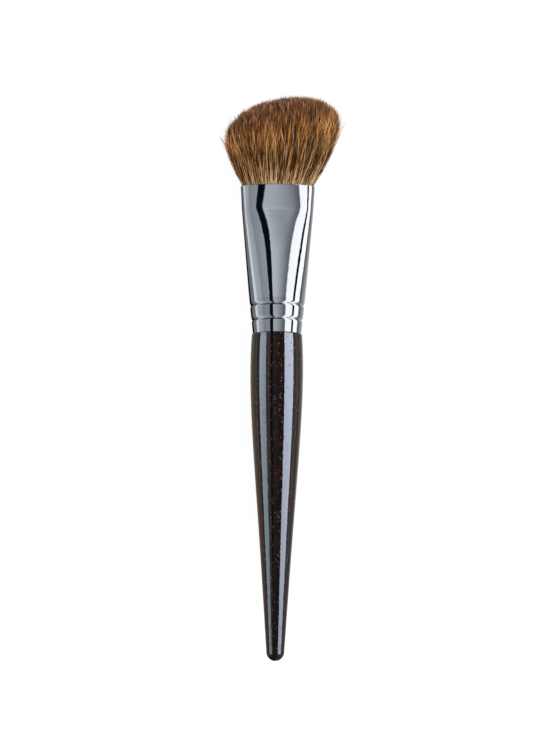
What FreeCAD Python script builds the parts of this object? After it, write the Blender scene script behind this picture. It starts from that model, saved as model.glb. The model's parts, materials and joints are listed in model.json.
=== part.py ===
"""A contour make-up brush: turned wooden handle, pinched and crimped metal ferrule, angled hair tuft.

The pieces are drawn upright, with +Z along the brush from the butt of the handle to the hair, +X across
its wide side and -Y out of its front face. At the end the brush is laid on its back as it comes to rest,
with the hair towards +Y and the front face up. Lengths are in millimetres.
"""
import FreeCAD, Part
import math
import os

from FreeCAD import Vector

# Handle: a turned profile, with heights measured from the butt end.
handle_length = 104.7
butt_radius = 2.85
taper_radius = 5.17
taper_height = 37.1
swell_radius = 7.5
swell_height = 69.2
belly_radius = 8.45
belly_height = 91.9
shoulder_radius = 8.08
shoulder_round = 0.35
tenon_length = 17.0
tenon_tip_relief = 0.6

# Ferrule: a tube with a tapered, crimped tail and a pinched mouth, with heights from its tail end.
ferrule_length = 47.65
ferrule_wall = 0.45
tail_radius = 7.72
tail_taper = 0.108
first_crimp_height = 4.4
crimp_spacing = 4.65
crimp_depth = 0.38
crimp_half_width = 1.0
crimped_length = 11.0
waist_height = 18.7
waist_half_width = 9.62
waist_half_depth = 8.25
throat_height = 27.8
throat_half_width = 10.4
throat_half_depth = 7.42
neck_height = 34.9
neck_half_width = 11.02
neck_half_depth = 6.6
neck_fullness = 0.78
crease_height = 40.1
crease_half_width = 11.45
crease_half_depth = 5.95
crease_fullness = 1.07
crease_softness = 1.5
mouth_half_width = 11.87
mouth_half_depth = 6.2
mouth_fullness = 0.8
rim_round = 0.16

# Hair tuft: locks fan out of the mouth to a tilted rim, and their tips make a domed crown.
tuft_half_width = 18.2
tuft_half_depth = 9.4
tuft_shift = 1.7
rim_height = 18.7
rim_tilt = 3.45
crown_height = 10.6
crown_tilt = -1.3
fan_curl = 0.71
fan_curl_tilt = 0.14
lock_relief = 0.45
lock_wander = 0.35
lock_unevenness = 0.4
tip_relief = 0.7

# How finely the tuft is divided: locks around it, rings up its flank and over its crown.
lock_count = 72
fewest_locks = 6
flank_rings = 7
crown_rings = 6

# Set resin below the hair, which holds the root ends together.
glue_length = 6.5

# Fits between pieces.
tenon_clearance = 0.05
glue_clearance = 0.05
hair_clearance = 0.15

# Densities in g/cm3, which settle where the brush's weight lies.
wood_density = 0.7
brass_density = 8.5
hair_density = 0.45
resin_density = 1.15

# A round section's corner weight: more is fuller at the corners, with flatter faces.
ROUND = math.sqrt(0.5)

# The turn from one lock to the next in a pattern that never repeats.
GOLDEN_TURN = math.pi * (3 - math.sqrt(5))


def at(radius, height):
    """A point of a turned profile."""
    return Vector(radius, 0, height)


def turned(edges):
    """The solid of revolution of a closed half profile about the brush's axis."""
    return Part.Face(Part.Wire(edges)).revolve(Vector(), Vector(0, 0, 1), 360)


def oval_point(half_width, half_depth, fullness, quarters):
    """The two coordinates of an oval section's point at a number of quarter turns from +X."""
    quarter = int(math.floor(quarters)) % 4
    share = quarters - math.floor(quarters)
    start = (1 - share) ** 2
    corner = 2 * fullness * share * (1 - share)
    end = share**2
    along = (start + corner) / (start + corner + end)
    aside = (corner + end) / (start + corner + end)
    across, through = ((along, aside), (-aside, along), (-along, -aside), (aside, -along))[quarter]
    return half_width * across, half_depth * through


def tail_line(height):
    """The tail's outer radius at a height, with the crimps left out."""
    return tail_radius + tail_taper * height


def tail_profile(inset):
    """Edges up the tail, each crimp a sharp valley between two rounded shoulders."""
    shoulder = (crimp_half_width**2 + crimp_depth**2) / (2 * crimp_depth)
    half_turn = math.asin(crimp_half_width / shoulder) / 2
    run = shoulder * math.sin(half_turn)
    drop = shoulder * (1 - math.cos(half_turn))
    edges = []
    last = at(tail_line(0) - inset, 0)
    for crimp in (first_crimp_height, first_crimp_height + crimp_spacing):
        below = crimp - crimp_half_width
        above = crimp + crimp_half_width
        start = at(tail_line(below) - inset, below)
        sinking = at(tail_line(below + run) - drop - inset, below + run)
        valley = at(tail_line(crimp) - crimp_depth - inset, crimp)
        rising = at(tail_line(above - run) - drop - inset, above - run)
        end = at(tail_line(above) - inset, above)
        edges.append(Part.makeLine(last, start))
        edges.append(Part.Arc(start, sinking, valley).toShape())
        edges.append(Part.Arc(valley, rising, end).toShape())
        last = end
    edges.append(Part.makeLine(last, at(tail_line(crimped_length) - inset, crimped_length)))
    return edges


def tail_solid(inset):
    """The solid within the tail's crimped length, inset from its outside."""
    foot = at(tail_line(0) - inset, 0)
    head = at(tail_line(crimped_length) - inset, crimped_length)
    top = Part.makeLine(head, at(0, crimped_length))
    axis = Part.makeLine(at(0, crimped_length), at(0, 0))
    base = Part.makeLine(at(0, 0), foot)
    return turned(tail_profile(inset) + [top, axis, base])


def flare_sections(inset):
    """The flare's named sections, each as half width, half depth, fullness and height."""
    joint_radius = tail_line(crimped_length)
    sections = [
        (joint_radius, joint_radius, ROUND, crimped_length),
        (waist_half_width, waist_half_depth, ROUND, waist_height),
        (throat_half_width, throat_half_depth, ROUND, throat_height),
        (neck_half_width, neck_half_depth, neck_fullness, neck_height),
        (crease_half_width, crease_half_depth, crease_fullness, crease_height),
        (mouth_half_width, mouth_half_depth, mouth_fullness, ferrule_length),
    ]
    return [(wide - inset, deep - inset, fullness, height) for wide, deep, fullness, height in sections]


def between(lower, upper, share):
    """A section at a share of the way from one section to the next."""
    return tuple(low + share * (high - low) for low, high in zip(lower, upper))


def flare_solid(inset):
    """The solid within the flare, from the round tail to the pinched mouth, with a soft crease.

    Its side is one surface. Each section is a row of its poles, and two more rows beside the crease keep
    the crease's bend short.
    """
    sections = flare_sections(inset)
    neck, crease, mouth = sections[-3:]
    below = between(crease, neck, crease_softness / (crease_height - neck_height))
    above = between(crease, mouth, crease_softness / (ferrule_length - crease_height))
    rows = sections[:-2] + [below, crease, above, mouth]
    corners = [(1, 0), (1, 1), (0, 1), (-1, 1), (-1, 0), (-1, -1), (0, -1), (1, -1)]
    poles = [[Vector(wide * x, deep * y, height) for wide, deep, _, height in rows] for x, y in corners]
    weights = [[1.0 for _ in rows], [fullness for _, _, fullness, _ in rows]] * 4
    side = Part.BSplineSurface()
    side.buildFromPolesMultsKnots(
        poles,
        [2] * 5,
        [3] + [1] * (len(rows) - 3) + [3],
        list(range(5)),
        list(range(len(rows) - 1)),
        True,
        False,
        2,
        2,
        weights,
    )
    side = side.toShape()
    ends = [edge for edge in side.Edges if lies_at(edge, crimped_length) or lies_at(edge, ferrule_length)]
    caps = [Part.Face(Part.Wire([edge])) for edge in ends]
    shell = Part.makeShell([side] + caps)
    shell.sewShape()
    return Part.makeSolid(shell)


def lies_at(edge, height):
    """Whether a whole edge lies at one height."""
    return all(abs(vertex.Z - height) < 0.01 for vertex in edge.Vertexes) and edge.BoundBox.ZLength < 0.1


def single(shape):
    """The one solid that a cut or a fuse leaves."""
    return shape.removeSplitter().Solids[0]


def ferrule():
    """The thin metal tube: crimped tail and pinched flare, open at both ends, with an eased rim."""
    outside = tail_solid(0).fuse(flare_solid(0))
    inside = tail_solid(ferrule_wall).fuse(flare_solid(ferrule_wall))
    tube = outside.cut(inside)
    rim = [edge for edge in tube.Edges if lies_at(edge, ferrule_length)]
    return single(tube.makeFillet(rim_round, rim))


def handle():
    """The turned handle and its tenon, which the ferrule's crimps grip."""
    slope = math.atan2(taper_radius - butt_radius, taper_height - butt_radius)
    butt = at(butt_radius * math.cos(slope), butt_radius * (1 - math.sin(slope)))
    half_turn = (math.pi / 2 - slope) / 2
    butt_middle = at(butt_radius * math.sin(half_turn), butt_radius * (1 - math.cos(half_turn)))
    shoulder = at(shoulder_radius, handle_length - shoulder_round)
    edge_middle = at(
        shoulder_radius - shoulder_round * (1 - ROUND),
        handle_length - shoulder_round * (1 - ROUND),
    )
    edge_end = at(shoulder_radius - shoulder_round, handle_length)
    side = Part.BSplineCurve()
    side.interpolate(
        Points=[
            butt,
            at(taper_radius, taper_height),
            at(swell_radius, swell_height),
            at(belly_radius, belly_height),
            shoulder,
        ],
        InitialTangent=Vector(math.sin(slope), 0, math.cos(slope)),
        FinalTangent=Vector(-math.sin(slope), 0, math.cos(slope)),
    )
    body = turned([
        Part.Arc(at(0, 0), butt_middle, butt).toShape(),
        side.toShape(),
        Part.Arc(shoulder, edge_middle, edge_end).toShape(),
        Part.makeLine(edge_end, at(0, handle_length)),
        Part.makeLine(at(0, handle_length), at(0, 0)),
    ])
    inset = ferrule_wall + tenon_clearance
    tip_start = tail_line(crimped_length) - inset
    tip_end = waist_half_depth - inset - tenon_tip_relief
    tip = Part.makeCone(tip_start, tip_end, tenon_length - crimped_length, at(0, crimped_length))
    tenon = tail_solid(inset).fuse(tip)
    tenon.translate(at(0, handle_length))
    return single(body.fuse(tenon))


def glue_plug():
    """The set resin that fills the flare just below the hair's root ends."""
    inside = flare_solid(ferrule_wall + glue_clearance)
    width = 2 * neck_half_width
    slab = Part.makeBox(width, width, glue_length, Vector(-width / 2, -width / 2, neck_height - glue_length))
    return single(inside.common(slab))


def unevenness(lock, level):
    """A repeatable number from -1 to 1 for a lock, which drifts from one level to the next."""
    return math.sin(GOLDEN_TURN * lock + 2 * level) * math.cos(lock - level)


def relief(column, level):
    """How far a column stands out: each lock has its ridge on an even column and its edge on the next."""
    side = 1 if column % 2 == 0 else -1
    return lock_relief * (side + lock_unevenness * unevenness(column // 2, level))


def rim_at(across):
    """The rim's height above the mouth, from -1 on one side of the tuft to 1 on the other."""
    return rim_height + rim_tilt * across


def root_ring(section):
    """Points of the bundled roots within one of the ferrule's sections."""
    wide, deep, fullness, height = section
    ring = []
    for column in range(2 * lock_count):
        x, y = oval_point(wide, deep, fullness, 2 * column / lock_count)
        ring.append(Vector(x, y, height))
    return ring


def flank_ring(rise):
    """Points of the fanning locks at a share of the way from the mouth to the rim."""
    wide, deep, fullness, mouth = flare_sections(ferrule_wall + hair_clearance)[-1]
    ring = []
    for column in range(2 * lock_count):
        wander = lock_wander * rise * unevenness(column // 2, rise)
        quarters = 4 * (column / 2 + wander) / lock_count
        x_root, y_root = oval_point(wide, deep, fullness, quarters)
        across, through = oval_point(1, 1, ROUND, quarters)
        fan = rise + (fan_curl + fan_curl_tilt * across) * rise * (1 - rise)
        out = rise * relief(column, rise)
        x_rim = tuft_shift + (tuft_half_width + out) * across
        y_rim = (tuft_half_depth + out) * through
        x = x_root + fan * (x_rim - x_root)
        y = y_root + fan * (y_rim - y_root)
        ring.append(Vector(x, y, mouth + rise * rim_at(across)))
    return ring


def crown_ring(lean):
    """Points of the lock tips at an angle over from the rim, fewer as the crown closes in."""
    spread = math.cos(lean)
    lift = math.sin(lean)
    count = 2 * max(fewest_locks, round(lock_count * spread))
    ring = []
    for column in range(count):
        across, through = oval_point(spread, spread, ROUND, 4 * column / count)
        out = relief(column, 1 + lean)
        tip = tip_relief * unevenness(column, lean)
        x = tuft_shift + (tuft_half_width + out) * across
        y = (tuft_half_depth + out) * through
        z = ferrule_length + rim_at(across) + (crown_height + crown_tilt * across + out + tip) * lift
        ring.append(Vector(x, y, z))
    return ring


def band(lower, upper):
    """Triangles that join two rings, one above the other, whatever their numbers of points."""
    below = 0
    above = 0
    triangles = []
    while below < len(lower) or above < len(upper):
        low = lower[below % len(lower)]
        high = upper[above % len(upper)]
        if (below + 1) * len(upper) <= (above + 1) * len(lower):
            below += 1
            triangles.append((low, lower[below % len(lower)], high))
        else:
            above += 1
            triangles.append((low, upper[above % len(upper)], high))
    return triangles


def cap(ring, middle):
    """Triangles that close a ring at a middle point above it."""
    return [(ring[i - 1], ring[i], middle) for i in range(len(ring))]


def closed_solid(triangles):
    """The solid bounded by triangles that meet edge to edge."""
    points = []
    places = {}
    facets = []
    for triangle in triangles:
        facet = []
        for point in triangle:
            key = (round(point.x, 6), round(point.y, 6), round(point.z, 6))
            if key not in places:
                places[key] = len(points)
                points.append(point)
            facet.append(places[key])
        facets.append(tuple(facet))
    surface = Part.Shape()
    surface.makeShapeFromMesh((points, facets), 0.001)
    return Part.makeSolid(surface)


def hair_tuft():
    """The bundled hair: roots in the ferrule's mouth, flanks of fanning locks and a crown of tips."""
    rings = [root_ring(section) for section in flare_sections(ferrule_wall + hair_clearance)[-3:]]
    rings += [flank_ring(level / flank_rings) for level in range(1, flank_rings + 1)]
    rings += [crown_ring(math.pi / 2 * level / (crown_rings + 1)) for level in range(1, crown_rings + 1)]
    triangles = cap(rings[0][::-1], Vector(0, 0, neck_height))
    for lower, upper in zip(rings, rings[1:]):
        triangles += band(lower, upper)
    triangles += cap(rings[-1], Vector(tuft_shift, 0, ferrule_length + rim_height + crown_height))
    return closed_solid(triangles)


def outline_points(shapes):
    """Points all over some shapes' surfaces."""
    points = []
    for shape in shapes:
        points += shape.tessellate(0.02)[0]
    return points


def resting_slope(pieces, densities):
    """The slope, against the brush's axis, of the flat ground that the lying brush rests on."""
    weight = sum(densities[name] * shape.Volume for name, shape in pieces.items())
    moment = sum(densities[name] * shape.Volume * shape.CenterOfMass.z for name, shape in pieces.items())
    balance = moment / weight
    points = [(point.z, point.y) for point in outline_points(pieces.values())]
    butt_side = [point for point in points if point[0] <= balance]
    hair_side = [point for point in points if point[0] > balance]
    low = max(butt_side, key=lambda point: point[1])
    high = max(hair_side, key=lambda point: point[1])
    for _ in range(8):
        slope = (high[1] - low[1]) / (high[0] - low[0])
        low = max(butt_side, key=lambda point: point[1] - slope * point[0])
        high = max(hair_side, key=lambda point: point[1] - slope * point[0])
    return math.atan((high[1] - low[1]) / (high[0] - low[0]))


def lay_down(pieces, densities):
    """Lays the brush on its back on the ground, with the origin below the middle of its outline."""
    slope = math.degrees(resting_slope(pieces, densities))
    for shape in pieces.values():
        shape.rotate(Vector(), Vector(1, 0, 0), slope - 90)
    points = outline_points(pieces.values())
    middle_x = (min(point.x for point in points) + max(point.x for point in points)) / 2
    middle_y = (min(point.y for point in points) + max(point.y for point in points)) / 2
    ground = min(point.z for point in points)
    for shape in pieces.values():
        shape.translate(Vector(-middle_x, -middle_y, -ground))
    print("slope", round(slope, 4), "middle", round(middle_x, 3), round(middle_y, 3), round(ground, 3))


def build():
    """Makes the pieces, lays the brush down and writes one STEP file for each piece."""
    pieces = {
        "handle": handle(),
        "ferrule": ferrule(),
        "hair_tuft": hair_tuft(),
        "glue_plug": glue_plug(),
    }
    densities = {
        "handle": wood_density,
        "ferrule": brass_density,
        "hair_tuft": hair_density,
        "glue_plug": resin_density,
    }
    for name in ("ferrule", "hair_tuft", "glue_plug"):
        pieces[name].translate(at(0, handle_length))
    lay_down(pieces, densities)
    os.makedirs("parts", exist_ok=True)
    for name, shape in pieces.items():
        shape.exportStep(f"parts/{name}.step")
        print(name, shape.isValid(), len(shape.Solids), round(shape.Volume, 3), shape.BoundBox)


build()
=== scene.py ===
"""A contour make-up brush: turned dark wooden handle, polished chrome ferrule and a fanned tuft of hair.

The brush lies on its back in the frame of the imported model. +Y runs along it towards the hair, +X across
its wide side and +Z up out of its front face. Lengths are in metres and angles in degrees.
"""
import json
import logging
import math
from dataclasses import dataclass, fields
from enum import Enum

import bmesh
import bpy
import numpy as np
from mathutils import Matrix, Vector
from mathutils.kdtree import KDTree


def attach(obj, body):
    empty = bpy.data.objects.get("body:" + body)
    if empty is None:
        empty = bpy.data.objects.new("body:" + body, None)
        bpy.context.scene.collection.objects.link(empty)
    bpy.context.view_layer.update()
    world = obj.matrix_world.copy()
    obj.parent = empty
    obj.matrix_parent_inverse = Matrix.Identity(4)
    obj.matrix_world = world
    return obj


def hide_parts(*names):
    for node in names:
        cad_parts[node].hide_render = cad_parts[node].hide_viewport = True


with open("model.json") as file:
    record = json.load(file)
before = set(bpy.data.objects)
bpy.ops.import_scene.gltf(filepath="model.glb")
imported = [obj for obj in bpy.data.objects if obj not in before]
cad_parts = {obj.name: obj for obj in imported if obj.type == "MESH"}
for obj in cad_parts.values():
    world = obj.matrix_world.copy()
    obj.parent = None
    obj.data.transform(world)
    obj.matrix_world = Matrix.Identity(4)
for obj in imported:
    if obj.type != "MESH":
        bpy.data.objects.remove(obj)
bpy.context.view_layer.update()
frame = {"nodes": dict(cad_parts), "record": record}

LOG = logging.getLogger("contour_brush")
BODY = "root"
SEED = 20260
TURN = 2 * math.pi

# The height of the grip mount above the butt.
GRIP_HEIGHT = 0.0919

# The hair's own map, and the shades on it: brown up to the fairest, then grey.
HAIR_MAP = "OFBake"
FAIREST_SHADE = 0.95
GREY_FROM = 0.97
GREY_SHADE = 0.985

Array = np.ndarray
Generator = np.random.Generator
Material = bpy.types.Material
Piece = bpy.types.Object
Socket = bpy.types.NodeSocket
Value = float | tuple | Socket
Colour = tuple[float, float, float]
Light = tuple[float, float, float, float]

# A range's start and end, a pattern's repeats in a metre across the brush and along it, and a span's
# lowest number and its reach.
Range = tuple[float, float]
Repeats = tuple[float, float]
Span = tuple[float, float]
Levels = tuple[tuple[float, float], ...]
Stops = tuple[tuple[float, Colour], ...]


def tone(colour: Colour) -> Light:
    """Gives a display colour, with channels from 0 to 255, as opaque linear light."""
    shares = [channel / 255 for channel in colour]
    return *(s / 12.92 if s <= 0.04045 else ((s + 0.055) / 1.055) ** 2.4 for s in shares), 1.0


def neutral(level: float) -> Light:
    """Gives a colourless linear light."""
    return level, level, level, 1.0


def within(span: Span, draws: Array) -> Array:
    """Places draws from 0 to 1 in a span."""
    return span[0] + span[1] * draws


@dataclass(frozen=True)
class BrushPose:
    """Where the lying brush is: a point of its axis, and the directions along it and out of its front."""

    grip: Vector
    along: Vector
    front: Vector

    @classmethod
    def of_record(cls, record: dict) -> "BrushPose":
        """Reads the pose from the grip mount.

        Args:
            record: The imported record.

        Returns:
            The pose of the lying brush.
        """
        mount = next(mount for mount in record["mounts"] if mount["name"] == "handle_grip")
        along = Vector(mount["axis"]).normalized()
        return cls(Vector(mount["pos_m"]), along, Vector((1, 0, 0)).cross(along))

    def place(self, across: Array, out: Array, height: Array) -> Array:
        """Places points given by the brush's own directions.

        Args:
            across: Distances to the right of the axis.
            out: Distances out of the front face from the axis.
            height: Heights along the axis from the butt.

        Returns:
            The points, with x, y and z in the last dimension.
        """
        rise = np.asarray(height) - GRIP_HEIGHT
        parts = [
            self.grip[i] + (across if i == 0 else 0) + self.front[i] * out + self.along[i] * rise
            for i in range(3)
        ]
        return np.stack([np.broadcast_to(part, np.shape(rise)) for part in parts], axis=-1)

    def point(self, across: float, out: float, height: float) -> Vector:
        """Gives one point of the brush's own directions."""
        return Vector(self.place(np.array(across), np.array(out), np.array(height)))


class Shader:
    """A material's, world's or lamp's node tree, with short calls that add nodes and join them."""

    def __init__(self, owner: Material | bpy.types.World | bpy.types.Light) -> None:
        """Empties the owner's tree.

        Args:
            owner: The material, world or lamp that is given its nodes.
        """
        owner.use_nodes = True
        self.owner = owner
        self.tree = owner.node_tree
        self.tree.nodes.clear()

    def add(self, kind: str, settings: dict | None = None, **sockets: Value) -> bpy.types.Node:
        """Adds a node.

        Args:
            kind: The node's type, without its ShaderNode prefix.
            settings: Values of the node's own options.
            **sockets: Values or outputs for its inputs, with the input's name in lower case and an
                underline for each space, or its number after the letter i.

        Returns:
            The new node.
        """
        node = self.tree.nodes.new("ShaderNode" + kind)
        for name, value in (settings or {}).items():
            setattr(node, name, value)
        for name, value in sockets.items():
            if name[0] == "i" and name[1:].isdigit():
                socket = node.inputs[int(name[1:])]
            else:
                socket = next(s for s in node.inputs if s.name.lower().replace(" ", "_") == name)
            if isinstance(value, Socket):
                self.tree.links.new(value, socket)
            else:
                socket.default_value = value
        return node

    def object_place(self) -> Socket:
        """Gives the place on the piece, in its own frame."""
        return self.add("TexCoord").outputs["Object"]

    def scaled(self, place: Socket, repeats: Repeats) -> Socket:
        """Scales a place to a pattern's own units."""
        across, along = repeats
        return self.add("Mapping", vector=place, scale=(across, along, across)).outputs[0]

    def noise(self, place: Socket, detail: float, scale: float = 1.0, roughness: float = 0.5) -> Socket:
        """Adds a noise pattern and gives its level."""
        return self.add("TexNoise", vector=place, scale=scale, detail=detail, roughness=roughness).outputs[0]

    def maths(self, operation: str, *values: Value) -> Socket:
        """Adds a maths node, with numbers or outputs in the order of its inputs, and gives its result."""
        sockets = {f"i{i}": value for i, value in enumerate(values)}
        return self.add("Math", {"operation": operation}, **sockets).outputs[0]

    def mapped(self, value: Socket, source: Range, result: Range = (0.0, 1.0)) -> Socket:
        """Maps a value from one range to another, and holds it within that."""
        sockets = {"from_min": source[0], "from_max": source[1], "to_min": result[0], "to_max": result[1]}
        return self.add("MapRange", value=value, **sockets).outputs[0]

    def ramp(self, factor: Socket, stops: list[tuple[float, Light]]) -> Socket:
        """Adds a colour ramp.

        Args:
            factor: The output that drives it.
            stops: Positions from 0 to 1 with their colours, in order.

        Returns:
            The ramp's colour output.
        """
        node = self.add("ValToRGB", fac=factor)
        elements = node.color_ramp.elements
        while len(elements) < len(stops):
            elements.new(1.0)
        for element, (position, _) in zip(elements, stops):
            element.position = position
        for element, (_, colour) in zip(elements, stops):
            element.color = colour
        return node.outputs["Color"]

    def blend(self, factor: Value, first: Value, second: Value, mode: str = "MIX") -> Socket:
        """Blends two colours by how far the second takes over, and gives the result."""
        node = self.add("Mix", {"data_type": "RGBA", "blend_type": mode}, i0=factor, i6=first, i7=second)
        return node.outputs[2]

    def surface(self, shader: Socket) -> None:
        """Makes a shader the owner's surface."""
        kinds = {bpy.types.World: "OutputWorld", bpy.types.AreaLight: "OutputLight"}
        self.add(kinds.get(type(self.owner), "OutputMaterial"), surface=shader)


def material(name: str) -> tuple[Material, Shader]:
    """Makes an empty material, and gives it with its node tree."""
    made = bpy.data.materials.new(name)
    return made, Shader(made)


def add_piece(bm: bmesh.types.BMesh, name: str, finish: Material) -> Piece:
    """Makes a finished bmesh an object in the scene, smooth and dressed, and frees it.

    Args:
        bm: The bmesh.
        name: The object's name.
        finish: The object's material.

    Returns:
        The new object.
    """
    mesh = bpy.data.meshes.new(name)
    bm.to_mesh(mesh)
    bm.free()
    mesh.materials.append(finish)
    mesh.shade_smooth()
    piece = bpy.data.objects.new(name, mesh)
    bpy.context.scene.collection.objects.link(piece)
    return piece


@dataclass(frozen=True)
class LacqueredWood:
    """Dark stained wood under a clear gloss lacquer, with fine grain and a few pale pores.

    A pore is a small pit where the lacquer is missing. It is painted pale grey, partly as dust in it and
    partly as a painted highlight for the glint of its tilted edges. Its edge is how far from its middle it is
    deepest and how far it reaches, in the pattern's own units.
    """

    grain_stops: Stops = ((0.3, (12, 6, 5)), (0.55, (17, 9, 7)), (0.8, (46, 17, 12)))
    grain_repeats: Repeats = (1500.0, 45.0)
    grain_detail: float = 5.0
    grain_roughness: float = 0.6
    streak: Colour = (46, 17, 12)
    streak_repeats: Repeats = (250.0, 22.5)
    streak_detail: float = 2.0
    streak_range: Range = (0.52, 0.68)
    streak_strength: float = 0.5
    pore: Colour = (98, 98, 97)
    pore_repeats: Repeats = (2700.0, 1700.0)
    pore_edge: Range = (0.29 / 3, 0.29)
    pore_patches: float = 0.4
    pore_patch_level: float = 0.57
    pore_strength: float = 0.9
    wood_roughness: float = 0.4
    wood_bump: float = 0.2
    wood_relief: float = 0.00003
    coat_roughness: float = 0.035
    coat_ior: float = 1.28
    coat_bump: float = 0.7
    coat_relief: float = 0.00006
    coat_grain: float = 0.02

    def make(self) -> Material:
        """Makes the material.

        Returns:
            The new material.
        """
        made, shader = material("lacquered_wood")
        place = shader.object_place()
        fibres = shader.scaled(place, self.grain_repeats)
        grain = shader.noise(fibres, self.grain_detail, roughness=self.grain_roughness)
        wood = shader.ramp(grain, [(position, tone(colour)) for position, colour in self.grain_stops])
        streaks = shader.noise(shader.scaled(place, self.streak_repeats), self.streak_detail)
        warm = shader.mapped(streaks, self.streak_range, (0.0, self.streak_strength))
        wood = shader.blend(warm, wood, tone(self.streak))
        dotted = shader.scaled(place, self.pore_repeats)
        away = shader.add("TexVoronoi", {"feature": "F1"}, vector=dotted, scale=1.0).outputs["Distance"]
        sunk = shader.mapped(away, self.pore_edge, (1.0, 0.0))
        patches = shader.noise(dotted, 1.0, self.pore_patches)
        pores = shader.maths("MULTIPLY", sunk, shader.maths("GREATER_THAN", patches, self.pore_patch_level))
        # Pale pores: partly dust, partly a painted highlight for the glint of the pits' tilted edges.
        wood = shader.blend(shader.maths("MULTIPLY", pores, self.pore_strength), wood, tone(self.pore))
        relief = shader.maths("MULTIPLY_ADD", pores, -1.0, grain)
        pits = shader.maths("MULTIPLY_ADD", grain, self.coat_grain, shader.maths("MULTIPLY", pores, -1.0))
        bump = shader.add("Bump", strength=self.wood_bump, distance=self.wood_relief, height=relief)
        coat_bump = shader.add("Bump", strength=self.coat_bump, distance=self.coat_relief, height=pits)
        body = shader.add(
            "BsdfPrincipled",
            base_color=wood,
            roughness=self.wood_roughness,
            specular_ior_level=0.0,
            normal=bump.outputs[0],
            coat_weight=shader.maths("SUBTRACT", 1.0, pores),
            coat_roughness=self.coat_roughness,
            coat_ior=self.coat_ior,
            coat_normal=coat_bump.outputs[0],
        )
        shader.surface(body.outputs[0])
        return made


@dataclass(frozen=True)
class PolishedChrome:
    """Chrome plate, mirror bright, with faint wiping marks around the tube. Its colour is linear."""

    colour: Colour = (0.72, 0.73, 0.75)
    roughness: Range = (0.021, 0.056)
    marks_repeats: Repeats = (120.0, 4000.0)
    marks_detail: float = 3.0

    def make(self) -> Material:
        """Makes the material.

        Returns:
            The new material.
        """
        made, shader = material("polished_chrome")
        marks = shader.noise(shader.scaled(shader.object_place(), self.marks_repeats), self.marks_detail)
        rough = shader.mapped(marks, (0.0, 1.0), self.roughness)
        metal = shader.add("BsdfPrincipled", base_color=(*self.colour, 1.0), metallic=1.0, roughness=rough)
        shader.surface(metal.outputs[0])
        return made


@dataclass(frozen=True)
class SetResin:
    """Amber resin, clouded where it set around the root ends of the hair."""

    cloud_stops: Stops = ((0.35, (120, 82, 40)), (0.65, (170, 130, 70)))
    cloud_scale: float = 700.0
    cloud_detail: float = 4.0
    roughness: float = 0.25
    ior: float = 1.55

    def make(self) -> Material:
        """Makes the material.

        Returns:
            The new material.
        """
        made, shader = material("set_resin")
        cloud = shader.noise(shader.object_place(), self.cloud_detail, self.cloud_scale)
        colour = shader.ramp(cloud, [(position, tone(stain)) for position, stain in self.cloud_stops])
        resin = shader.add("BsdfPrincipled", base_color=colour, roughness=self.roughness, ior=self.ior)
        shader.surface(resin.outputs[0])
        return made


@dataclass(frozen=True)
class BrownHair:
    """Natural brown hair: pale gold at the root, orange brown along it and dark at the tip.

    A strand's own map runs along it in its second coordinate. The first is its shade, from dark to fair.
    The stops are places along a strand. Its shade is lowered there by a painted shadow, deepest about a third
    of the way up where inner hairs lie in shade, and what is left turns it from dark to plain and from plain
    to fair over a range each.
    """

    dark: Stops = ((0.0, (62, 39, 23)), (0.3, (42, 26, 13)), (0.7, (54, 32, 16)), (1.0, (54, 33, 25)))
    plain: Stops = (
        (0.0, (156, 112, 74)),
        (0.25, (148, 98, 50)),
        (0.7, (155, 94, 42)),
        (0.84, (137, 79, 43)),
        (0.93, (102, 64, 50)),
        (1.0, (94, 60, 54)),
    )
    fair: Stops = (
        (0.0, (236, 206, 168)),
        (0.3, (255, 214, 148)),
        (0.7, (236, 172, 98)),
        (0.84, (216, 150, 92)),
        (0.93, (206, 148, 110)),
        (1.0, (206, 154, 122)),
    )
    # A painted shadow along the strand, which darkens the inner hairs where they lie in shade.
    shadow: Levels = ((0.0, 0.1), (0.12, 0.2), (0.3, 0.3), (0.5, 0.23), (0.72, 0.07), (1.0, 0.04))
    plain_range: Range = (0.2, 0.46)
    fair_range: Range = (0.55, 0.82)
    grey: Colour = (196, 190, 184)
    grey_strength: float = 0.6
    sheen: Colour = (1.0, 0.74, 0.46)
    roughness: float = 0.4
    ior: float = 1.5

    def make(self) -> Material:
        """Makes the material.

        Returns:
            The new material.
        """
        made, shader = material("brown_hair")
        strand = shader.add("UVMap", {"uv_map": HAIR_MAP}).outputs[0]
        parts = shader.add("SeparateXYZ", vector=strand)
        shade, along = parts.outputs["X"], parts.outputs["Y"]
        dark, plain, fair = (
            shader.ramp(along, [(position, tone(colour)) for position, colour in stops])
            for stops in (self.dark, self.plain, self.fair)
        )
        # Painted shadow: the shade is lowered along the strand, most about a third of the way up.
        painted_shadow = shader.ramp(along, [(position, neutral(level)) for position, level in self.shadow])
        lit = shader.maths("SUBTRACT", shade, painted_shadow)
        colour = shader.blend(shader.mapped(lit, self.plain_range), dark, plain)
        colour = shader.blend(shader.mapped(lit, self.fair_range), colour, fair)
        greyed = shader.maths("MULTIPLY", shader.maths("GREATER_THAN", shade, GREY_FROM), self.grey_strength)
        colour = shader.blend(greyed, colour, tone(self.grey))
        hair = shader.add(
            "BsdfPrincipled", base_color=colour, roughness=self.roughness, ior=self.ior,
            specular_tint=(*self.sheen, 1.0),
        )
        shader.surface(hair.outputs[0])
        return made


class Layer(Enum):
    """The kinds of strand in the tuft, with the share of all strands that each has."""

    FLANK = 0.45
    CROWN = 0.505
    STRAY = 0.045


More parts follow.
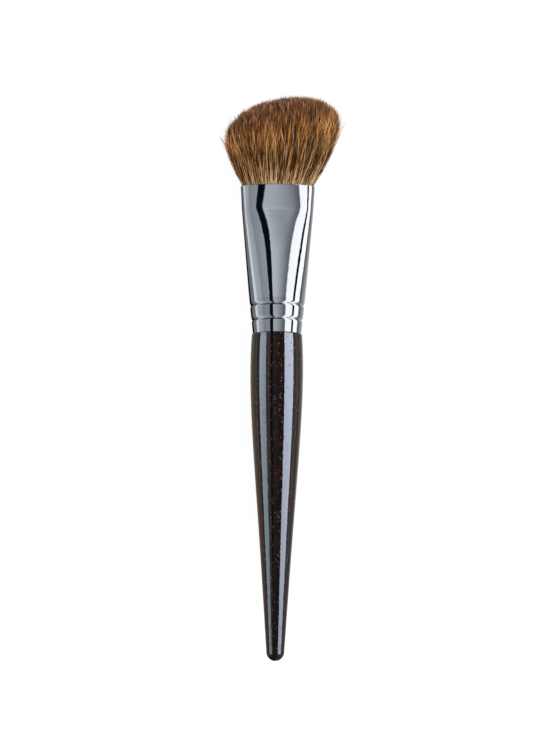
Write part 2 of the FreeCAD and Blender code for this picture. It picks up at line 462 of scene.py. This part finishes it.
@dataclass(frozen=True)
class TuftForm:
    """The tuft's form: it fans out of the ferrule's mouth to a tilted rim under a domed crown.

    A place in the bundle is u across it, from -1 on the left to 1 on the right, and v through it, from -1
    at the back to 1 at the front. Heights and depths are taken from the mouth. The core's share is of the
    bundle, across and through it.
    """

    mouth_height: float = 0.15235
    mouth_half_width: float = 0.01127
    mouth_half_depth: float = 0.0056
    root_depth: float = 0.0012
    half_width: float = 0.0179
    half_depth: float = 0.0094
    shift: float = 0.0014
    rim_height: float = 0.0187
    rim_tilt: float = 0.00345
    crown_height: float = 0.0106
    crown_tilt: float = -0.0009
    crown_square: float = 2.3
    crown_round: float = 0.46
    fan_curl: float = 0.71
    fan_curl_tilt: float = 0.14
    lock_count: int = 72
    lock_relief: float = 0.00028
    lock_waves: tuple = ((1.3, 5, 1), (0.9, 11, -2))
    rim_samples: int = 721
    core_share: float = 0.82

    def path(self, u: Array, v: Array, rise: Array, reach: Array) -> Array:
        """Follows hairs from the mouth to their tips.

        Args:
            u: Places across the bundle.
            v: Places through the bundle.
            rise: Shares of the way from the mouth to the crown, below 0 inside the ferrule.
            reach: Heights of the crown above the mouth at each hair.

        Returns:
            The points, with across, out and height in the last dimension.
        """
        curl = self.fan_curl + self.fan_curl_tilt * u
        fan = np.where(rise > 0, rise + curl * rise * (1 - rise), 0)
        turn = np.arctan2(v, u)
        phase = self.lock_count * turn
        for size, count, drift in self.lock_waves:
            phase = phase + size * np.sin(count * turn + drift * rise)
        relief = self.lock_relief * np.cos(phase) * (u**2 + v**2) ** 2
        across = self.mouth_half_width * u * (1 - fan) + (self.shift + (self.half_width + relief) * u) * fan
        out = self.mouth_half_depth * v * (1 - fan) + (self.half_depth + relief) * v * fan
        height = self.mouth_height + np.where(rise > 0, rise * reach, rise * self.root_depth)
        return np.stack([across, out, height], axis=-1)

    def reach(self, u: Array, v: Array) -> Array:
        """Gives the crown's height above the mouth over a place in the bundle."""
        dome = np.clip(1 - np.hypot(u, v) ** self.crown_square, 0, 1) ** self.crown_round
        return self.rim_height + self.rim_tilt * u + (self.crown_height + self.crown_tilt * u) * dome

    def even_angles(self, count: int, random: Generator) -> Array:
        """Draws angles around the tuft so that the hairs stand evenly along its rim.

        Args:
            count: How many angles.
            random: The generator of the draws.

        Returns:
            The angles, in radians.
        """
        turn = np.linspace(0, TURN, self.rim_samples)
        speed = np.hypot(self.half_width * np.sin(turn), self.half_depth * np.cos(turn))
        travelled = np.concatenate([[0], np.cumsum((speed[1:] + speed[:-1]) / 2)])
        return np.interp(random.random(count) * travelled[-1], travelled, turn)


@dataclass(frozen=True)
class Strand:
    """One hair: a thin tube of three sides, one unit long, that tapers and closes at its tip.

    It can bend at its cuts, and those within the loose range differ from hair to hair. Its taper has a
    width for each of its levels, from the root, over the cuts, to the tip.
    """

    sides: int = 3
    cuts: tuple = (0.05, 0.36, 0.66, 0.9)
    taper: tuple = (1.0, 1.0, 1.0, 0.95, 0.72, 0.0)
    loose_range: Range = (0.1, 0.9)
    cut_stray: float = 0.2
    radius: float = 0.000066
    coarse_radius: float = 0.000125
    coarse_share: float = 0.16
    girth: Span = (0.75, 0.5)

    def shape(self, bm: bmesh.types.BMesh) -> None:
        """Makes the strand.

        Args:
            bm: The empty bmesh that it is made in.
        """
        bmesh.ops.create_cone(
            bm, cap_ends=True, cap_tris=False, segments=self.sides, radius1=1.0, radius2=0.0, depth=1.0,
            matrix=Matrix.Translation((0, 0, 0.5)),
        )
        for share in self.cuts:
            bmesh.ops.bisect_plane(
                bm, geom=bm.verts[:] + bm.edges[:] + bm.faces[:], plane_co=(0, 0, share), plane_no=(0, 0, 1)
            )
        bmesh.ops.triangulate(bm, faces=bm.faces[:])

    def copies(self, count: int) -> tuple[bmesh.types.BMesh, Array]:
        """Makes many copies of the strand, all in one place.

        Args:
            count: How many strands.

        Returns:
            The bmesh that holds them, strand by strand, and the points of one strand.
        """
        bm = bmesh.new()
        self.shape(bm)
        bm.verts.index_update()
        unit = np.array([vert.co[:] for vert in bm.verts])
        points_each, faces_each = len(bm.verts), len(bm.faces)
        have = 1
        while have < count:
            extra = min(have, count - have)
            bm.verts.ensure_lookup_table()
            verts = bm.verts[: extra * points_each]
            bmesh.ops.duplicate(bm, geom=verts + bm.faces[:][: extra * faces_each])
            have += extra
        return bm, unit

    def levels(self, unit: Array) -> tuple[Array, Array]:
        """Gives the heights of a strand's levels, and the level of each of its points."""
        return np.unique(np.round(unit[:, 2], 5), return_inverse=True)

    def heights(self, levels: Array, count: int, random: Generator) -> Array:
        """Draws the heights of the levels on each hair, a row each."""
        loose = (levels > self.loose_range[0]) & (levels < self.loose_range[1])
        return levels + np.where(loose, self.cut_stray, 0) * (random.random((count, len(levels))) - 0.5)

    def radii(self, count: int, random: Generator) -> Array:
        """Draws the radius of each hair at its root."""
        coarse = random.random(count) < self.coarse_share
        return np.where(coarse, self.coarse_radius, self.radius) * within(self.girth, random.random(count))


@dataclass
class Hairs:
    """The tuft's hairs, a row each, with places as u and v.

    A hair goes from its root's place to its tip's, drawn to its clump's by its pull, and a stray one
    leaves the tuft by its spread. It starts and ends at shares of the way from the mouth to the crown. Its
    shade runs from 0, dark, to 1, fair. Its tint is how far it has turned from the root's colour to the
    tip's where it reaches the crown.
    """

    roots: Array
    tips: Array
    clumps: Array
    pulls: Array
    spreads: Array
    starts: Array
    ends: Array
    shades: Array
    tints: Array

    def rows(self, chosen: Array) -> "Hairs":
        """Gives some of the hairs."""
        return Hairs(**{item.name: getattr(self, item.name)[chosen] for item in fields(self)})


@dataclass
class HairPlan:
    """How the hairs are drawn: where they stand and end, how they clump, and their shades.

    Leans and insets are in the bundle's places. Ends are shares of the way to the crown.
    """

    form: TuftForm
    random: Generator
    count: int
    crown_places: float = 0.97
    skin_depth: float = 0.16
    skin_crowding: float = 1.6
    clump_count: int = 4200
    clump_lean: float = 0.13
    clump_pull: float = 0.72
    clump_hold: Span = (0.5, 0.5)
    clump_step: float = 0.01
    hair_lean: float = 0.075
    root_inset: float = 0.03
    crown_start: float = 0.5
    buried_start: float = -0.05
    core_margin: float = 0.04
    tip_share: float = 0.975
    tip_unevenness: float = 0.02
    short_share: float = 0.55
    shortest: float = 0.5
    short_crowding: float = 1.3
    proud_share: float = 0.2
    proud_rise: float = 0.035
    stray_end: Span = (0.5, 0.53)
    stray_crowding: float = 0.6
    stray_spread: Span = (0.04, 0.13)
    crown_sharing: float = 0.72
    outer_sharing: float = 0.42
    shade_contrast: float = 2.45
    shade_offset: float = 0.73
    # Painted shade for flank hairs that lie deeper: its amount, the place in the bundle where it starts, and
    # how far in it grows to full.
    buried_shade: float = 0.28
    skin_radius: float = 0.99
    skin_fade: float = 0.07
    loose_shade: Span = (0.55, 0.35)
    fairest: float = 0.94
    grey_share: float = 0.025
    outer_tint: float = 0.93
    right_tint: float = 0.16
    right_start: float = 0.35
    right_width: float = 0.5
    tint_spread: float = 0.05

    def __post_init__(self) -> None:
        """Draws the tips' places, layer by layer, and the clumps that they belong to."""
        counts = [round(self.count * layer.value) for layer in Layer]
        self.layers = np.repeat(np.array(list(Layer)), counts)
        self.crown, self.stray = self.layers == Layer.CROWN, self.layers == Layer.STRAY
        self.tips = np.concatenate([self.scatter(count, layer) for count, layer in zip(counts, Layer)])
        self.radius = np.hypot(self.tips[:, 0], self.tips[:, 1])
        self.centres = np.concatenate([
            self.scatter(self.clump_count // 3, Layer.FLANK),
            self.scatter(self.clump_count * 2 // 3, Layer.CROWN),
        ])
        self.clump = self.nearest()

    def even(self) -> Array:
        """Draws a number from 0 to 1 for each hair."""
        return self.random.random(self.count)

    def scatter(self, count: int, layer: Layer) -> Array:
        """Draws places in the bundle for one layer's hairs.

        Args:
            count: How many places.
            layer: The layer that they are for.

        Returns:
            The places across and through the bundle, one row each.
        """
        angle = self.form.even_angles(count, self.random)
        if layer is Layer.CROWN:
            radius = self.crown_places * np.sqrt(self.random.random(count))
        else:
            radius = 1 - self.skin_depth * self.random.random(count) ** self.skin_crowding
        return np.stack([radius * np.cos(angle), radius * np.sin(angle)], axis=1)

    def nearest(self) -> Array:
        """Finds each hair's clump.

        Returns:
            The number of the clump that is nearest to each tip.
        """
        size = np.array([self.form.half_width, self.form.half_depth])
        tree = KDTree(len(self.centres))
        for number, centre in enumerate(self.centres * size):
            tree.insert((*centre, 0), number)
        tree.balance()
        return np.array([tree.find((*tip, 0))[1] for tip in self.tips * size])

    def lean(self) -> Array:
        """Draws the roots' places, near their tips' and within the mouth.

        Returns:
            The places, one row each.
        """
        together = self.random.normal(0, self.clump_lean, self.centres.shape)[self.clump]
        roots = self.tips + together + self.random.normal(0, self.hair_lean, self.tips.shape)
        outside = np.hypot(roots[:, 0], roots[:, 1]) + self.root_inset * self.even()
        return roots / np.maximum(1, outside)[:, None]

    def cut(self) -> tuple[Array, Array]:
        """Draws where the hairs end.

        Returns:
            The hairs' ends, and which hairs of the crown stand proud of it.
        """
        ends = self.tip_share - self.tip_unevenness * self.even()
        ends += self.random.normal(0, self.clump_step, self.clump_count)[self.clump]
        short = (self.layers == Layer.FLANK) & (self.even() < self.short_share)
        ends = np.where(short, ends - self.shortest * self.even() ** self.short_crowding, ends)
        proud = self.crown & (self.even() < self.proud_share)
        ends = np.where(proud, ends + self.proud_rise * self.even(), ends)
        stray_ends = self.tip_share * within(self.stray_end, self.even() ** self.stray_crowding)
        return np.where(self.stray, stray_ends, ends), proud

    def shade(self, proud: Array) -> Array:
        """Draws the shades. A clump shares most of its shade, and deeper flank hairs get painted shade.

        Args:
            proud: Which hairs stand proud of the crown.

        Returns:
            The shades, with 1 for a grey hair.
        """
        sharing = np.where(self.crown, self.crown_sharing, self.outer_sharing)
        shades = sharing * self.random.random(self.clump_count)[self.clump] + (1 - sharing) * self.even()
        shades = shades * self.shade_contrast - self.shade_offset
        # Painted shade: flank hairs inside the skin are darkened, standing in for the shadow deep in the
        # tuft.
        painted_depth_shade = self.buried_shade * np.clip((self.skin_radius - self.radius) / self.skin_fade, 0, 1)
        shades = np.where(self.layers == Layer.FLANK, shades - painted_depth_shade, shades)
        loose = within(self.loose_shade, self.even())
        shades = np.where(self.stray | proud, loose, np.clip(shades, 0, self.fairest))
        return np.where(self.even() < self.grey_share, 1.0, shades)

    def draw(self) -> Hairs:
        """Draws all the hairs.

        Returns:
            The hairs, layer by layer.
        """
        roots = self.lean()
        ends, proud = self.cut()
        shades = self.shade(proud)
        inside = self.crown & (self.radius < self.form.core_share - self.core_margin)
        rightward = np.clip((self.tips[:, 0] - self.right_start) / self.right_width, 0, 1)
        tints = np.where(self.crown & ~proud, 1.0, self.outer_tint) - self.right_tint * rightward
        return Hairs(
            roots=roots,
            tips=self.tips,
            clumps=self.centres[self.clump],
            pulls=np.where(self.stray, 0, self.clump_pull * within(self.clump_hold, self.even())),
            spreads=np.where(self.stray, within(self.stray_spread, self.even()), 0),
            starts=np.where(inside, self.crown_start, self.buried_start),
            ends=ends,
            shades=shades,
            tints=tints + self.random.normal(0, self.tint_spread, self.count),
        )


@dataclass
class HairTuft:
    """The tuft: bundles of strands around a dense core in painted shade, which shows only as depth between
    them.
    """

    pose: BrushPose
    finish: Material
    random: Generator
    form: TuftForm = TuftForm()
    strand: Strand = Strand()
    bundle_count: int = 5
    strands_in_bundle: int = 6800
    floor_gap: float = 0.00005

    # How a hair runs: its clump's pull along it, its wave, and how far its tip strays.
    pull_growth: float = 0.6
    pull_release: float = 0.45
    wave: float = 0.0005
    wave_ways: tuple = (1.0, 1.0, 0.4)
    wave_swing: Span = (0.6, 0.9)
    tip_stray: float = 0.00032
    tip_ways: tuple = (1.0, 0.7, 0.3)
    tip_growth: float = 1.3
    highest_lift: float = 1.1

    # How a hair lies on the map: its strip's half width, and how its shade and colouring vary.
    strip: float = 0.004
    shade_drift: float = 0.27
    colouring_spread: float = 0.12
    colouring_limits: Range = (0.6, 1.6)

    # The core: its facets, its share of the crown's height, how far it sinks in the mouth, and its place
    # and steps on the map, which give it the dark hair colour as painted shade for the depth inside the tuft.
    core_facets: tuple[int, int] = (64, 32)
    core_height: float = 0.9
    core_sink: float = 0.02
    core_spot: tuple = (0.12, 0.4)
    core_step: float = 0.02

    def lines(self, hairs: Hairs, heights: Array) -> Array:
        """Works out the line of each hair.

        Args:
            hairs: The hairs.
            heights: The heights of each hair's points, from 0 at the root to 1 at the tip.

        Returns:
            The points of each hair, with across, out and height in the last dimension.
        """
        each = (len(hairs.tips), 1, 3)
        rise = hairs.starts[:, None] + heights * (hairs.ends - hairs.starts)[:, None]
        risen = np.clip(rise, 0, 1)
        pull = hairs.pulls[:, None] * risen**self.pull_growth * (1 - self.pull_release * risen**4)
        spread = 1 + hairs.spreads[:, None] * rise**2
        u, v = (
            spread * (
                hairs.roots[:, i, None] + risen * (hairs.tips - hairs.roots)[:, i, None]
                + pull * (hairs.clumps - hairs.tips)[:, i, None]
            )
            for i in range(2)
        )
        reach = self.form.reach(hairs.tips[:, 0], hairs.tips[:, 1])
        points = self.form.path(u, v, rise, reach[:, None])
        bend = self.random.normal(0, self.wave, each) * np.array(self.wave_ways)
        phase = self.random.random(each) * TURN
        swing = within(self.wave_swing, self.random.random(each))
        sway = np.sin(phase + TURN * swing * rise[:, :, None]) - np.sin(phase)
        lean = self.random.normal(0, self.tip_stray, each) * np.array(self.tip_ways)
        lift = np.clip(rise, 0, self.highest_lift)[:, :, None]
        return points + bend * sway * lift + lean * lift**self.tip_growth

    def bundle(self, name: str, hairs: Hairs) -> Piece:
        """Builds one bundle of strands as a mesh piece.

        Args:
            name: The piece's name.
            hairs: The bundle's hairs.

        Returns:
            The bundle's object.
        """
        count = len(hairs.tips)
        bm, unit = self.strand.copies(count)
        piece = add_piece(bm, name, self.finish)
        levels, level_of = self.strand.levels(unit)
        heights = self.strand.heights(levels, count, self.random)
        points = self.lines(hairs, heights)
        ways = np.gradient(points, axis=1)
        ways /= np.linalg.norm(ways, axis=2, keepdims=True)
        side = np.cross(ways, [0.0, 1.0, 0.0])
        side /= np.linalg.norm(side, axis=2, keepdims=True)
        other = np.cross(ways, side)
        turn = self.random.random(count)[:, None] * TURN + np.arctan2(unit[:, 1], unit[:, 0])[None, :]
        radius = self.strand.radii(count, self.random)
        thick = radius[:, None] * np.array(self.strand.taper)[level_of][None, :]
        local = (
            points[:, level_of]
            + (thick * np.cos(turn))[:, :, None] * side[:, level_of]
            + (thick * np.sin(turn))[:, :, None] * other[:, level_of]
        )
        world = self.pose.place(local[..., 0], local[..., 1], local[..., 2]).reshape(-1, 3)
        world[:, 2] = np.maximum(world[:, 2], self.floor_gap)
        piece.data.vertices.foreach_set("co", world.astype(np.float32).ravel())
        self.map_strands(piece.data, unit, heights[:, level_of], hairs)
        piece.data.update()
        return piece

    def map_strands(self, mesh: bpy.types.Mesh, unit: Array, heights: Array, hairs: Hairs) -> None:
        """Gives each strand its own strip of the map: its shade across and its colouring along.

        Args:
            mesh: The bundle's mesh.
            unit: The unit strand's points.
            heights: The height of each hair at the unit strand's points.
            hairs: The bundle's hairs.
        """
        turn = np.arctan2(unit[:, 1], unit[:, 0])
        at_tip = np.hypot(unit[:, 0], unit[:, 1]) < 1e-6
        aside = np.where(at_tip, 0, np.round(turn / (TURN / self.strand.sides)))
        levels, level_of = self.strand.levels(unit)
        drift = self.random.normal(0, self.shade_drift, (len(hairs.shades), len(levels)))[:, level_of]
        shade = np.clip(hairs.shades[:, None] + drift, 2 * self.strip, FAIREST_SHADE)
        across = np.where(hairs.shades[:, None] == 1.0, GREY_SHADE, shade) + self.strip * aside[None, :]
        start = np.clip(hairs.starts, 0, 1)[:, None]
        share = start + (np.clip(hairs.ends, 0, 1)[:, None] - start) * heights
        early = 1 + self.colouring_spread * self.random.normal(0, 1, len(hairs.shades))
        early = early[:, None].clip(*self.colouring_limits)
        along = np.clip(share, 0, 1) ** early * hairs.tints[:, None].clip(0, 1)
        corners = np.zeros(len(mesh.loops), np.int32)
        mesh.loops.foreach_get("vertex_index", corners)
        both = np.stack([across, np.broadcast_to(along, across.shape)], axis=-1).reshape(-1, 2)
        layer = mesh.uv_layers.new(name=HAIR_MAP)
        layer.data.foreach_set("uv", both[corners].astype(np.float32).ravel())

    def core_point(self, unit: Vector) -> Vector:
        """Places a point of the core.

        Args:
            unit: The point on a sphere of radius 1, whose upper half becomes the core's domed top and
                whose lower half its flank.

        Returns:
            The point on the core.
        """
        lean = math.asin(max(-1, min(1, unit.z)))
        turn = math.atan2(unit.y, unit.x)
        pole = abs(unit.z) > 0.9999
        core_share = self.form.core_share
        radius = 0 if pole else (math.cos(lean) if lean > 0 else 1) * core_share
        rise = 1.0 if lean > 0 else 1 + lean / (math.pi / 2)
        u, v = np.array(radius * math.cos(turn)), np.array(radius * math.sin(turn))
        reach = self.form.reach(u / core_share, v / core_share) * self.core_height
        sunk = np.array(rise * (1 + self.core_sink) - self.core_sink)
        return self.pose.point(*self.form.path(u, v, sunk, reach))

    def core(self) -> Piece:
        """Builds the dense inside of the tuft.

        Returns:
            The core's object.
        """
        around, up = self.core_facets
        bm = bmesh.new()
        bmesh.ops.create_uvsphere(bm, u_segments=around, v_segments=up, radius=1.0)
        layer = bm.loops.layers.uv.new(HAIR_MAP)
        for vert in bm.verts:
            vert.co = self.core_point(vert.co)
        # Map spots in the dark hair colour: painted shade for the depth inside the tuft.
        for loop in (loop for face in bm.faces for loop in face.loops):
            steps = (loop.vert.index % 2, loop.vert.index % 3)
            loop[layer].uv = [spot + self.core_step * step for spot, step in zip(self.core_spot, steps)]
        bmesh.ops.recalc_face_normals(bm, faces=bm.faces[:])
        return add_piece(bm, "hair_core", self.finish)

    def build(self) -> list[Piece]:
        """Builds the core and the bundles of strands.

        Returns:
            All the tuft's pieces.
        """
        hairs = HairPlan(self.form, self.random, self.bundle_count * self.strands_in_bundle).draw()
        left_to_right = np.argsort(hairs.tips[:, 0], kind="stable")
        pieces = [self.core()]
        for number, chosen in enumerate(np.array_split(left_to_right, self.bundle_count), start=1):
            pieces.append(self.bundle(f"hair_bundle_{number}", hairs.rows(chosen)))
        for piece in pieces:
            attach(piece, BODY)
            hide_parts("hair_tuft")
            LOG.info("%s: %d faces", piece.name, len(piece.data.polygons))
        return pieces


@dataclass(frozen=True)
class Band:
    """One stretch of the surround as polished metal mirrors it, seen along the brush.

    It runs from one angle around the brush to another, 0 above and 90 to the right, and from its first
    display level to its last. Its tint is a share of that level for each channel.
    """

    start: float
    end: float
    first: float
    last: float
    tint: Colour = (1.0, 1.0, 1.0)


@dataclass(frozen=True)
class GlossCard:
    """A long light panel beside the handle that shows only in the handle's lacquer.

    It spans from one angle to another, as a band does. Its glow is its brightness, where 1 is white.
    """

    name: str
    start: float
    end: float
    colour: Colour
    glow: float


@dataclass(frozen=True)
class SoftLamp:
    """A soft square lamp that metal doesn't mirror: where it hangs from its aim, its side and its watts."""

    name: str
    offset: tuple
    size: float
    power: float


@dataclass
class Studio:
    """The plain white room: floor, surround, lamps, gloss cards and the camera."""

    pose: BrushPose
    ambient: float = 0.75
    floor_half_size: float = 4.0
    floor_paint: float = 0.8
    floor_shown_paint: float = 0.18
    floor_shown_glow: float = 0.87

    # The camera: its distance, tilt and roll, the brush's point at the picture's middle, and its frame.
    view_distance: float = 2.5
    view_tilt: float = 8.4
    view_roll: float = 0.32
    aim_height: float = 0.09286
    aim_across: float = -0.0033
    picture_height: float = 0.2368
    sensor: float = 36.0

    # The surround in mirrors. The falloff dims all but its white bands towards the brush's ends: each pair
    # is how far a mirrored ray leans to the hair's end, from -1 to 1, and the share that is left. Its range
    # is from the level left alone to the level dimmed in full.
    bands: tuple = (
        Band(-180, -138, 11, 11, (0.5, 1.0, 1.5)),
        Band(-138, -109, 106, 108, (0.92, 1.0, 1.08)),
        Band(-109, -93, 206, 196, (0.97, 1.0, 1.06)),
        Band(-93, -66, 164, 148, (0.92, 1.0, 1.07)),
        Band(-66, -33, 127, 136, (0.91, 1.0, 1.08)),
        Band(-33, -17.8, 11, 11, (0.3, 1.0, 1.7)),
        Band(-17.8, -3, 167, 159, (0.92, 1.0, 1.07)),
        Band(-3, 24, 158, 112, (0.92, 1.0, 1.08)),
        Band(24, 36.6, 106, 86, (0.9, 1.0, 1.1)),
        Band(36.6, 68.5, 246, 252, (0.985, 1.0, 1.03)),
        Band(68.5, 79.5, 14, 14, (0.4, 1.0, 1.5)),
        Band(79.5, 105, 254, 254),
        Band(105, 116, 84, 94, (0.9, 1.0, 1.1)),
        Band(116, 180, 104, 196, (0.94, 1.0, 1.06)),
    )
    band_edge: float = 1.2
    mirror: float = PolishedChrome.colour[1]
    falloff: Levels = (
        (-1.0, 1.0), (-0.26, 1.0), (-0.17, 0.94), (-0.04, 0.94), (0.03, 1.0), (0.2, 1.05), (0.26, 1.18),
        (0.31, 1.18), (0.385, 0.8), (0.6, 0.32), (1.0, 0.2),
    )
    falloff_range: Range = (0.9, 0.6)

    # The gloss cards: their distance from the axis, where they start and end along it, and how they
    # brighten from the butt to the belly.
    gloss_cards: tuple = (
        GlossCard("left_card", -79.8, -48.0, (214, 238, 255), 15.6),
        GlossCard("left_inner_card", -48.2, -28, (245, 240, 255), 1.2),
        GlossCard("right_card", 33.2, 75, (220, 231, 255), 31.0),
        GlossCard("left_low_card", -168, -96, (255, 240, 214), 0.5),
        GlossCard("right_low_card", 96, 172, (255, 240, 214), 0.5),
    )
    card_distance: float = 0.12
    card_ends: Range = (-0.06, 0.17)
    card_fade: Range = (-0.09, 0.035)
    card_levels: Range = (0.8, 1.28)

    lamps: tuple = (
        SoftLamp("key", (0.6, 0.0, 0.75), 0.35, 3.0),
        SoftLamp("left_fill", (-0.75, 0.1, 0.25), 0.4, 3.8),
        SoftLamp("right_fill", (0.75, 0.1, 0.25), 0.4, 5.0),
    )
    lamp_aim_height: float = 0.12

    def panels(self, shader: Shader) -> Socket:
        """Adds the surround's bands, with soft edges between them.

        Args:
            shader: The world's node tree.

        Returns:
            The colour of the surround in each direction.
        """
        way = shader.add("SeparateXYZ", vector=shader.add("TexCoord").outputs["Generated"])
        angle = shader.maths("ARCTAN2", way.outputs["X"], way.outputs["Z"])
        stops = []
        for band in self.bands:
            ends = ((band.start + self.band_edge / 2, band.first), (band.end - self.band_edge / 2, band.last))
            for place, level in ends:
                linear = tone((level, level, level))[0] / self.mirror
                stops.append(((place + 180) / 360, tuple(linear * share for share in band.tint) + (1.0,)))
        panels = shader.ramp(shader.maths("MULTIPLY_ADD", angle, 1 / TURN, 0.5), stops)
        falloff = shader.ramp(
            shader.maths("MULTIPLY_ADD", way.outputs["Y"], 0.5, 0.5),
            [(place / 2 + 0.5, neutral(level)) for place, level in self.falloff],
        )
        dimmed = shader.mapped(panels, self.falloff_range)
        return shader.blend(dimmed, panels, falloff, "MULTIPLY")

    def surround(self) -> None:
        """Makes the world: even light, white to the camera, and the panels in mirrors."""
        world = bpy.data.worlds.new("studio")
        bpy.context.scene.world = world
        shader = Shader(world)
        lights = shader.add("LightPath")
        even = shader.add("Background", color=neutral(1.0), strength=self.ambient).outputs[0]
        mirrored = shader.add("Background", color=self.panels(shader), strength=1.0).outputs[0]
        white = shader.add("Background", color=neutral(1.0), strength=1.0).outputs[0]
        mixed = shader.add("MixShader", i0=lights.outputs["Is Glossy Ray"], i1=even, i2=mirrored).outputs[0]
        mixed = shader.add("MixShader", i0=lights.outputs["Is Camera Ray"], i1=mixed, i2=white).outputs[0]
        shader.surface(mixed)

    def floor(self) -> None:
        """Makes the white floor, which keeps the brush's soft shadow."""
        made, shader = material("floor")
        paint = shader.add("BsdfDiffuse", color=neutral(self.floor_paint)).outputs[0]
        shown = shader.add("BsdfDiffuse", color=neutral(self.floor_shown_paint)).outputs[0]
        glow = shader.add("Emission", color=neutral(1.0), strength=self.floor_shown_glow).outputs[0]
        white = shader.add("AddShader", i0=shown, i1=glow).outputs[0]
        seen = shader.add("LightPath").outputs["Is Camera Ray"]
        shader.surface(shader.add("MixShader", i0=seen, i1=paint, i2=white).outputs[0])
        bm = bmesh.new()
        bmesh.ops.create_grid(bm, x_segments=1, y_segments=1, size=self.floor_half_size)
        floor = add_piece(bm, "floor", made)
        floor.visible_glossy = False

    def lamp(self, card: SoftLamp) -> None:
        """Adds one of the soft lamps.

        Args:
            card: The lamp.
        """
        aim = self.pose.point(0, 0, self.lamp_aim_height)
        light = bpy.data.lights.new(card.name, "AREA")
        light.size = card.size
        light.energy = card.power
        lamp = bpy.data.objects.new(card.name, light)
        lamp.location = aim + Vector(card.offset)
        lamp.rotation_euler = Vector(card.offset).to_track_quat("Z", "Y").to_euler()
        lamp.visible_glossy = False
        lamp.visible_camera = False
        bpy.context.scene.collection.objects.link(lamp)

    def gloss_card(self, card: GlossCard, receivers: bpy.types.Collection) -> None:
        """Adds one of the handle's gloss cards.

        Args:
            card: The card.
            receivers: The collection of the pieces that it lights.
        """
        light = bpy.data.lights.new(card.name, "AREA")
        light.shape = "RECTANGLE"
        light.size = 2 * self.card_distance * math.tan(math.radians(card.end - card.start) / 2)
        light.size_y = self.card_ends[1] - self.card_ends[0]
        light.color = tone(card.colour)[:3]
        light.energy = card.glow * math.pi * light.size * light.size_y
        shader = Shader(light)
        spot = shader.add("SeparateXYZ", vector=shader.add("NewGeometry").outputs["Position"])
        level = shader.mapped(spot.outputs["Y"], self.card_fade, self.card_levels)
        shader.surface(shader.add("Emission", strength=level).outputs[0])
        middle = math.radians((card.start + card.end) / 2)
        height = sum(self.card_ends) / 2
        across, out = self.card_distance * math.sin(middle), self.card_distance * math.cos(middle)
        centre = self.pose.point(across, out, height)
        back = (centre - self.pose.point(0, 0, height)).normalized()
        turn = Matrix((self.pose.along.cross(back), self.pose.along, back)).transposed().to_4x4()
        lamp = bpy.data.objects.new(card.name, light)
        lamp.matrix_world = Matrix.Translation(centre) @ turn
        lamp.visible_camera = False
        lamp.visible_diffuse = False
        lamp.light_linking.receiver_collection = receivers
        bpy.context.scene.collection.objects.link(lamp)

    def camera(self) -> None:
        """Places the camera above the brush, at the picture's angle, distance and framing."""
        aim = self.pose.point(self.aim_across, 0, self.aim_height)
        tilt = math.radians(self.view_tilt)
        back = Vector((0, -math.sin(tilt), math.cos(tilt)))
        up = Vector((0, math.cos(tilt), math.sin(tilt)))
        right = up.cross(back)
        roll = math.radians(self.view_roll)
        x_axis = math.cos(roll) * right + math.sin(roll) * up
        y_axis = back.cross(x_axis)
        lens = bpy.data.cameras.new("camera")
        lens.lens = self.sensor * self.view_distance / self.picture_height
        lens.sensor_width = self.sensor
        view = bpy.data.objects.new("camera", lens)
        turn = Matrix((x_axis, y_axis, back)).transposed().to_4x4()
        view.matrix_world = Matrix.Translation(aim + back * self.view_distance) @ turn
        bpy.context.scene.collection.objects.link(view)
        bpy.context.scene.camera = view

    def build(self, handle: Piece) -> None:
        """Sets up the whole studio.

        Args:
            handle: The piece whose lacquer mirrors the gloss cards.
        """
        scene = bpy.context.scene
        scene.view_settings.view_transform = "Standard"
        self.surround()
        self.floor()
        for lamp in self.lamps:
            self.lamp(lamp)
        glossed = bpy.data.collections.new("lacquered")
        scene.collection.children.link(glossed)
        glossed.objects.link(handle)
        for card in self.gloss_cards:
            self.gloss_card(card, glossed)
        self.camera()


def dress(node: str, finish: Material) -> Piece:
    """Gives a CAD node its finish.

    Args:
        node: The node's name.
        finish: The material that it gets.

    Returns:
        The node's object.
    """
    piece = frame["nodes"][node]
    piece.data.materials.clear()
    piece.data.materials.append(finish)
    LOG.info("%s: %s", node, finish.name)
    return piece


def main() -> None:
    """Builds the brush's pieces in order, then the studio around it."""
    logging.basicConfig(level=logging.INFO, format="%(message)s")
    pose = BrushPose.of_record(frame["record"])
    handle = dress("handle", LacqueredWood().make())
    dress("ferrule", PolishedChrome().make())
    dress("glue_plug", SetResin().make())
    HairTuft(pose, BrownHair().make(), np.random.default_rng(SEED)).build()
    Studio(pose).build(handle)


if __name__ == "__main__":
    main()
